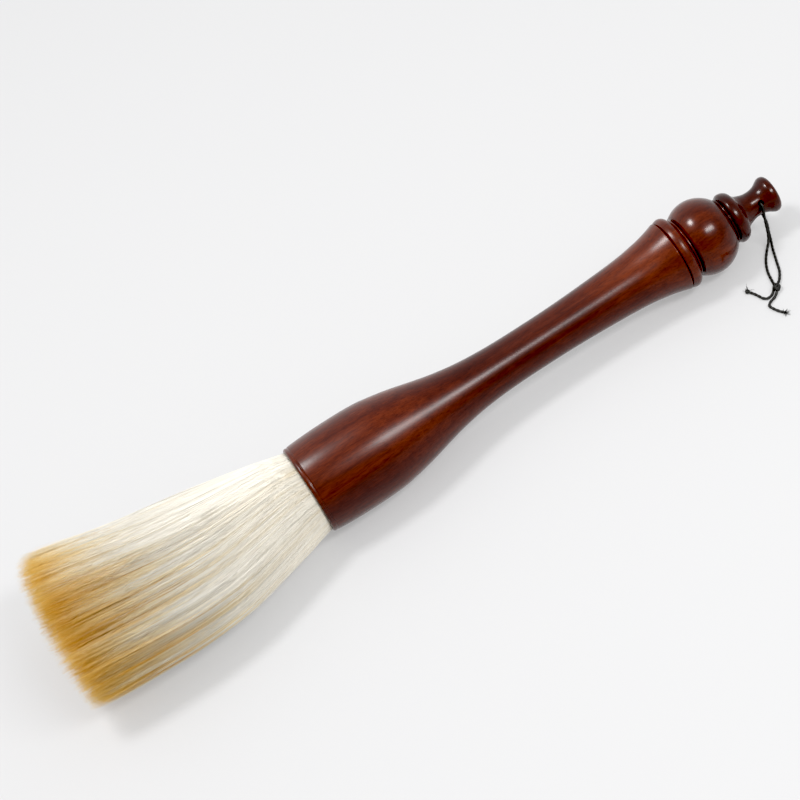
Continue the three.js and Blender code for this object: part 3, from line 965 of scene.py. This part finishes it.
def hair_colours(made, reach, row):
    """White near the mouth, then cream, golden and amber; later rows turn golden sooner."""
    # The last root stop is darker tan, partly painted shade for strands lying deep between the locks.
    root = ramp(made, row, [
        (0.0, (0.90, 0.865, 0.785)), (0.45, (0.89, 0.85, 0.76)),
        (0.75, (0.88, 0.825, 0.71)), (1.0, (0.82, 0.74, 0.59)),
    ])
    onset = add(made, "MapRange", {0: math_node(made, "POWER", row, 0.85), 3: 0.82, 4: 0.2}).outputs[0]
    span = add(made, "MapRange", {0: row, 3: 0.34, 4: 0.7}).outputs[0]
    past = math_node(made, "DIVIDE", math_node(made, "SUBTRACT", reach, onset), span, clamp=True)
    golden = ramp(made, past, [
        (0.0, (0.94, 0.88, 0.74)), (0.28, (0.95, 0.84, 0.61)), (0.55, (0.98, 0.77, 0.40)),
        (0.8, (1.0, 0.69, 0.23)), (1.0, (1.0, 0.66, 0.17)),
    ])
    # The amber ramp darkens part-way along: amber hair with painted shade of the hollows between the locks.
    amber = ramp(made, past, [
        (0.0, (0.92, 0.84, 0.68)), (0.35, (0.88, 0.72, 0.43)),
        (0.68, (0.74, 0.40, 0.08)), (1.0, (0.90, 0.50, 0.09)),
    ])
    amber_share = ramp(made, row, [(0.6, (0, 0, 0)), (0.95, (1, 1, 1))])
    tips = mix(made, amber_share, golden, amber)
    start = add(made, "MapRange", {0: past, 2: 0.3}, interpolation_type="SMOOTHSTEP").outputs[0]
    return mix(made, start, root, tips)


def mix(made, factor, first, second, blend="MIX"):
    node = add(made, "Mix", {"Factor": factor}, data_type="RGBA", blend_type=blend)
    connect(made, first, node.inputs[6])
    connect(made, second, node.inputs[7])
    return node.outputs[2]


def strand_material():
    made, shader = material("goat_hair_strands")
    place = add(made, "UVMap", uv_map="OFBake").outputs[0]
    split = add(made, "SeparateXYZ", {0: place})
    reach, row = split.outputs[0], split.outputs[1]
    colour = hair_colours(made, reach, row)
    stepped = math_node(made, "FLOOR", math_node(made, "MULTIPLY", row, COLOUR_ROWS))
    random = add(made, "TexWhiteNoise", {"W": stepped}, noise_dimensions="1D").outputs[0]
    lack = add(made, "MapRange", {0: random, 3: 0.25, 4: -0.05}).outputs[0]
    uneven = add(made, "MapRange", {0: reach, 2: 0.7, 3: 0.35, 4: 1.0}).outputs[0]
    shade = math_node(made, "SUBTRACT", 1.0, math_node(made, "MULTIPLY", lack, uneven))
    hue = add(made, "HueSaturation", {"Value": shade, "Color": colour})
    connect(made, hue.outputs[0], shader.inputs["Base Color"])
    shader.inputs["Roughness"].default_value = 0.5
    shader.inputs["Specular IOR Level"].default_value = 0.35
    return made


def packed_hair_material(name, dark):
    """Hair seen as a mass, by streaks along the tuft; dark scales its value down, painted shade of packed hair
    lying deep.
    """
    made, shader = material(name)
    fine = stretched_noise(made, (14, 1500, 1500), 3, 0.6, 2.2)
    broad = stretched_noise(made, (9, 260, 260), 3, 0.5, 5.5)
    place = add(made, "TexCoord").outputs["Object"]
    x = add(made, "SeparateXYZ", {0: place}).outputs[0]
    reach = math_node(made, "DIVIDE", math_node(made, "SUBTRACT", float(MOUTH[0]), x), float(TUFT_LENGTH))
    row = weighed_sum(made, [(fine, 0.5), (broad, 0.6)])
    colour = hair_colours(made, reach, row)
    shaded = add(made, "HueSaturation", {"Value": dark, "Color": colour}).outputs[0]
    connect(made, shaded, shader.inputs["Base Color"])
    bump = add(made, "Bump", {"Strength": 0.6, "Distance": 0.0004, "Height": fine}).outputs[0]
    connect(made, bump, shader.inputs["Normal"])
    shader.inputs["Roughness"].default_value = 0.6
    return made


def cord_material():
    made, shader = material("waxed_cord")
    place = add(made, "TexCoord").outputs["Object"]
    fibres = add(made, "TexNoise", {"Vector": place, "Scale": 5200.0, "Detail": 3.0}).outputs[0]
    colour = ramp(made, fibres, [(0.35, (0.006, 0.006, 0.005)), (0.7, (0.030, 0.029, 0.025))])
    connect(made, colour, shader.inputs["Base Color"])
    rough = add(made, "MapRange", {0: fibres, 3: 0.35, 4: 0.6}).outputs[0]
    connect(made, rough, shader.inputs["Roughness"])
    bump = add(made, "Bump", {"Strength": 0.5, "Distance": 0.00008, "Height": fibres}).outputs[0]
    connect(made, bump, shader.inputs["Normal"])
    return made


def plain_material(name, dark, light, scale, roughness):
    """Grainy material for the pieces inside the handle."""
    made, shader = material(name)
    grain = stretched_noise(made, scale, 4, 0.6, 4.4)
    connect(made, ramp(made, grain, [(0.35, dark), (0.65, light)]), shader.inputs["Base Color"])
    bump = add(made, "Bump", {"Strength": 0.3, "Distance": 0.0001, "Height": grain}).outputs[0]
    connect(made, bump, shader.inputs["Normal"])
    shader.inputs["Roughness"].default_value = roughness
    return made


def paint(obj, made):
    obj.data.materials.clear()
    obj.data.materials.append(made)


rosewood = lacquered_wood("lacquered_rosewood", 0.27)
polished = lacquered_wood("polished_rosewood", 0.2)
for node, piece in wooden.items():
    paint(piece, polished if node in ("finial_ball", "finial_spool") else rosewood)
strands = strand_material()
for piece in hair_pieces:
    paint(piece, strands)
# 0.8 darkens the undercoat: painted shade of the hair lying under the strands.
paint(undercoat_piece, packed_hair_material("packed_hair", 0.8))
waxed = cord_material()
for piece in (knot, melted_end, wisp, frayed_end, front_cord, back_cord):
    paint(piece, waxed)
paint(frame["nodes"]["assembly_dowel"], plain_material(
    "dowel_wood", (0.30, 0.17, 0.08), (0.52, 0.34, 0.18), (60, 900, 900), 0.7,
))
paint(frame["nodes"]["hair_glue_plug"], plain_material(
    "rosin", (0.10, 0.04, 0.01), (0.22, 0.10, 0.03), (120, 120, 120), 0.3,
))
paint(frame["nodes"]["root_binding_thread"], plain_material(
    "binding_thread", (0.62, 0.57, 0.48), (0.82, 0.78, 0.70), (2500, 2500, 2500), 0.8,
))
# 0.85 darkens the root hair: painted shade of the hair packed in the cup.
paint(frame["nodes"]["hair_root_bundle"], packed_hair_material("root_hair", 0.85))

# ---- Hair: transforms applied; the strands start inside the handle and spread into the tuft past the mouth; the CAD mantle and core hidden ----
for piece in hair_pieces + [undercoat_piece]:
    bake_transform(piece)
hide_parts("hair_mantle")
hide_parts("hair_core")


# ---- Stage ----
FLOOR_REACH = 12.0  # metres to each side
FLOOR_GLOW = 0.35  # the pale table glows a little, which keeps the shadows light


def make_floor():
    corners = [(x * FLOOR_REACH, y * FLOOR_REACH, 0) for x, y in ((-1, -1), (1, -1), (1, 1), (-1, 1))]
    floor = make_object("floor", corners, [(0, 1, 2, 3)], smooth=False)
    made, shader = material("pale_floor")
    shader.inputs["Base Color"].default_value = (0.34, 0.34, 0.344, 1)
    shader.inputs["Emission Color"].default_value = (1, 1, 1, 1)
    shader.inputs["Emission Strength"].default_value = FLOOR_GLOW
    shader.inputs["Roughness"].default_value = 0.75
    paint(floor, made)


def make_light(name, place, size, power, colour=(1, 1, 1)):
    """A soft light that faces the middle of the brush; one size makes a disk, two make a rectangle."""
    light = bpy.data.lights.new(name, "AREA")
    if len(size) == 1:
        light.shape, light.size = "DISK", size[0]
    else:
        light.shape, light.size, light.size_y = "RECTANGLE", size[0], size[1]
    light.energy = power
    light.color = colour
    obj = bpy.data.objects.new(name, light)
    bpy.context.scene.collection.objects.link(obj)
    obj.location = place
    facing = Vector(place).normalized()
    level = Vector((1, 0, 0)) - facing * facing.x
    level.normalize()
    obj.rotation_mode = "QUATERNION"
    obj.rotation_quaternion = Matrix((level, facing.cross(level), facing)).transposed().to_quaternion()


def make_world(front, back):
    """A pale room, brighter behind the brush than in front of it."""
    world = bpy.data.worlds.new("studio")
    world.use_nodes = True
    nodes, links = world.node_tree.nodes, world.node_tree.links
    background = nodes["Background"]
    background.inputs[0].default_value = (1, 1, 1, 1)
    place = nodes.new("ShaderNodeTexCoord")
    split = nodes.new("ShaderNodeSeparateXYZ")
    level = nodes.new("ShaderNodeMapRange")
    for socket, value in ((1, -0.8), (2, 0.8), (3, front), (4, back)):
        level.inputs[socket].default_value = value
    links.new(place.outputs["Generated"], split.inputs[0])
    links.new(split.outputs[1], level.inputs[0])
    links.new(level.outputs[0], background.inputs[1])
    bpy.context.scene.world = world


def set_tones(black_level):
    """A display transform with a little contrast in the darks, as in a studio picture."""
    settings = bpy.context.scene.view_settings
    settings.view_transform = "Standard"
    settings.use_curve_mapping = True
    settings.curve_mapping.black_level = (black_level, black_level, black_level)
    settings.curve_mapping.update()


make_floor()
make_light("overhead_softbox", (-0.3, 0.3, 1.35), (0.36,), 9.5)
make_light("front_softbox", (0.6, -0.76, 1.06), (0.76, 0.26), 10.2)
make_world(0.64, 0.94)
set_tones(0.036)
